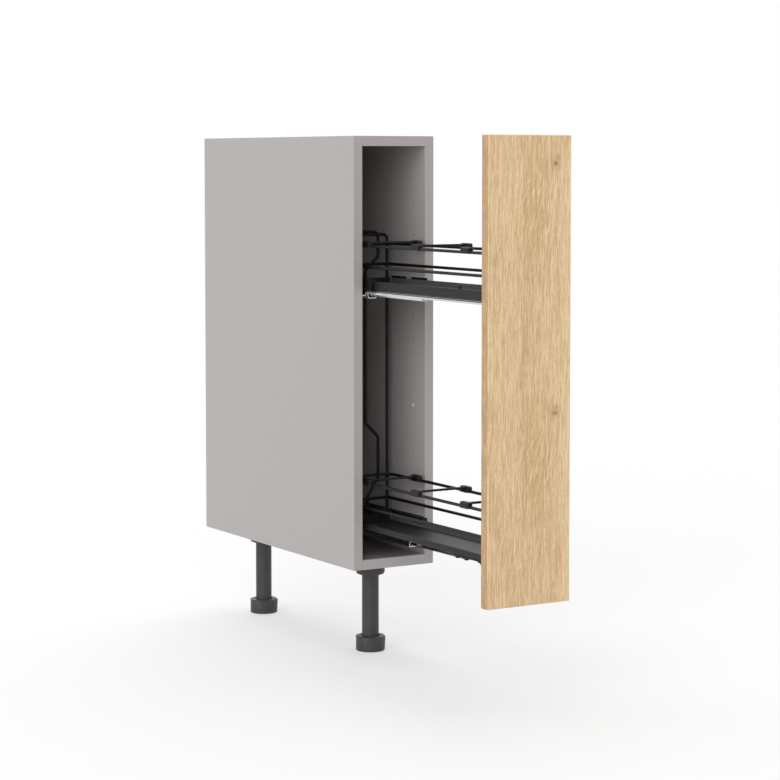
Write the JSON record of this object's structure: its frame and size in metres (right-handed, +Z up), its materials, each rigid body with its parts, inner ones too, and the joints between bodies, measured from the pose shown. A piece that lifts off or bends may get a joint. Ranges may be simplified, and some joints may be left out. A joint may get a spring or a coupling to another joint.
{
  "type": "pull-out base cabinet",
  "caption": "Narrow kitchen base cabinet on screw feet, with a door-fronted pull-out that carries two wire-railed trays on roller runners.",
  "frame": {"origin": "on the floor, at the bottom centre of the box round the cabinet as stored, with the pull-out open by 369 mm", "axes": "+X to the right seen from the front, +Y from the door to the back panel, +Z up; the carcass front lies at y = -73 mm"},
  "size_m": [0.15, 0.924, 0.85],
  "materials": {
    "carcass_melamine": "matt melamine on chipboard",
    "door_oak": "light oak decor, vertical grain",
    "back_hardboard": "thin lacquered hardboard",
    "beech": "plain beech",
    "zinc_steel": "bright zinc plate",
    "dark_sheet": "anthracite powder coat",
    "dark_wire": "near-black powder coat",
    "black_plastic": "matt moulded plastic",
    "leg_plastic": "matt dark grey moulded plastic",
    "light_plastic": "light cap plastic"
  },
  "bodies": {
    "cabinet": {"left_side_panel": "carcass_melamine", "right_side_panel": "carcass_melamine", "top_panel": "carcass_melamine", "bottom_panel": "carcass_melamine", "back_panel": "back_hardboard", "panel_dowels": "beech", "cam_fittings": "zinc_steel", "cam_bolts": "zinc_steel", "linking_cap": "light_plastic", "leg_sockets": "leg_plastic", "leg_tubes": "leg_plastic", "socket_screws": "zinc_steel", "runner_screws": "zinc_steel", "rail_buffers": "black_plastic", "upper_cabinet_rail": "zinc_steel", "lower_cabinet_rail": "zinc_steel"},
    "front_screw_foot": {"front_foot": "leg_plastic"},
    "rear_screw_foot": {"rear_foot": "leg_plastic"},
    "pull_out": {"door_panel": "door_oak", "door_screws": "zinc_steel", "door_bumpers": "light_plastic", "upper_front_bracket": "dark_sheet", "lower_front_bracket": "dark_sheet", "upper_drawer_rail": "zinc_steel", "lower_drawer_rail": "zinc_steel", "upper_tray": "dark_sheet", "lower_tray": "dark_sheet", "upper_low_ring": "dark_wire", "upper_top_ring": "dark_wire", "lower_low_ring": "dark_wire", "lower_top_ring": "dark_wire", "rear_frame_outer": "dark_wire", "rear_frame_inner": "dark_wire", "lower_riser": "dark_sheet", "rear_holders": "black_plastic", "tray_front_clips": "black_plastic", "rim_guards": "black_plastic", "tray_adjusters": "black_plastic"},
    "upper_middle_slide": {"upper_middle_rail": "zinc_steel"},
    "upper_inner_roller_cage": {"upper_inner_cage": "black_plastic", "upper_inner_rollers": "zinc_steel"},
    "upper_outer_roller_cage": {"upper_outer_cage": "black_plastic", "upper_outer_rollers": "zinc_steel"},
    "lower_middle_slide": {"lower_middle_rail": "zinc_steel"},
    "lower_inner_roller_cage": {"lower_inner_cage": "black_plastic", "lower_inner_rollers": "zinc_steel"},
    "lower_outer_roller_cage": {"lower_outer_cage": "black_plastic", "lower_outer_rollers": "zinc_steel"},
    "upper_front_divider_set": {"upper_front_divider": "dark_wire", "upper_front_divider_clips": "black_plastic"},
    "upper_middle_divider_set": {"upper_middle_divider": "dark_wire", "upper_middle_divider_clips": "black_plastic"},
    "upper_rear_divider_set": {"upper_rear_divider": "dark_wire", "upper_rear_divider_clips": "black_plastic"},
    "lower_front_divider_set": {"lower_front_divider": "dark_wire", "lower_front_divider_clips": "black_plastic"},
    "lower_middle_divider_set": {"lower_middle_divider": "dark_wire", "lower_middle_divider_clips": "black_plastic"},
    "lower_rear_divider_set": {"lower_rear_divider": "dark_wire", "lower_rear_divider_clips": "black_plastic"}
  },
  "joints": [
    {"name": "pull_out_slide", "type": "slide", "parent": "cabinet", "child": "pull_out", "axis": [0, -1, 0], "range_m": [-0.369, 0.081]},
    {"name": "upper_middle_rail_slide", "type": "slide", "parent": "cabinet", "child": "upper_middle_slide", "axis": [0, -1, 0], "range_m": [-0.1845, 0.0405]},
    {"name": "upper_inner_cage_slide", "type": "slide", "parent": "cabinet", "child": "upper_inner_roller_cage", "axis": [0, -1, 0], "range_m": [-0.09225, 0.02025]},
    {"name": "upper_outer_cage_slide", "type": "slide", "parent": "cabinet", "child": "upper_outer_roller_cage", "axis": [0, -1, 0], "range_m": [-0.27675, 0.06075]},
    {"name": "lower_middle_rail_slide", "type": "slide", "parent": "cabinet", "child": "lower_middle_slide", "axis": [0, -1, 0], "range_m": [-0.1845, 0.0405]},
    {"name": "lower_inner_cage_slide", "type": "slide", "parent": "cabinet", "child": "lower_inner_roller_cage", "axis": [0, -1, 0], "range_m": [-0.09225, 0.02025]},
    {"name": "lower_outer_cage_slide", "type": "slide", "parent": "cabinet", "child": "lower_outer_roller_cage", "axis": [0, -1, 0], "range_m": [-0.27675, 0.06075]},
    {"name": "front_foot_height", "type": "slide", "parent": "cabinet", "child": "front_screw_foot", "axis": [0, 0, -1], "range_m": [-0.003, 0.02]},
    {"name": "rear_foot_height", "type": "slide", "parent": "cabinet", "child": "rear_screw_foot", "axis": [0, 0, -1], "range_m": [-0.003, 0.02]},
    {"name": "upper_front_divider_slide", "type": "slide", "parent": "pull_out", "child": "upper_front_divider_set", "axis": [0, 1, 0], "range_m": [-0.04, 0.04]},
    {"name": "upper_middle_divider_slide", "type": "slide", "parent": "pull_out", "child": "upper_middle_divider_set", "axis": [0, 1, 0], "range_m": [-0.04, 0.04]},
    {"name": "upper_rear_divider_slide", "type": "slide", "parent": "pull_out", "child": "upper_rear_divider_set", "axis": [0, 1, 0], "range_m": [-0.04, 0.04]},
    {"name": "lower_front_divider_slide", "type": "slide", "parent": "pull_out", "child": "lower_front_divider_set", "axis": [0, 1, 0], "range_m": [-0.04, 0.04]},
    {"name": "lower_middle_divider_slide", "type": "slide", "parent": "pull_out", "child": "lower_middle_divider_set", "axis": [0, 1, 0], "range_m": [-0.04, 0.04]},
    {"name": "lower_rear_divider_slide", "type": "slide", "parent": "pull_out", "child": "lower_rear_divider_set", "axis": [0, 1, 0], "range_m": [-0.04, 0.04]}
  ],
  "couplings": [
    {"joint": "upper_middle_rail_slide", "follows": "pull_out_slide", "ratio": 0.5},
    {"joint": "upper_inner_cage_slide", "follows": "pull_out_slide", "ratio": 0.25},
    {"joint": "upper_outer_cage_slide", "follows": "pull_out_slide", "ratio": 0.75},
    {"joint": "lower_middle_rail_slide", "follows": "pull_out_slide", "ratio": 0.5},
    {"joint": "lower_inner_cage_slide", "follows": "pull_out_slide", "ratio": 0.25},
    {"joint": "lower_outer_cage_slide", "follows": "pull_out_slide", "ratio": 0.75}
  ]
}
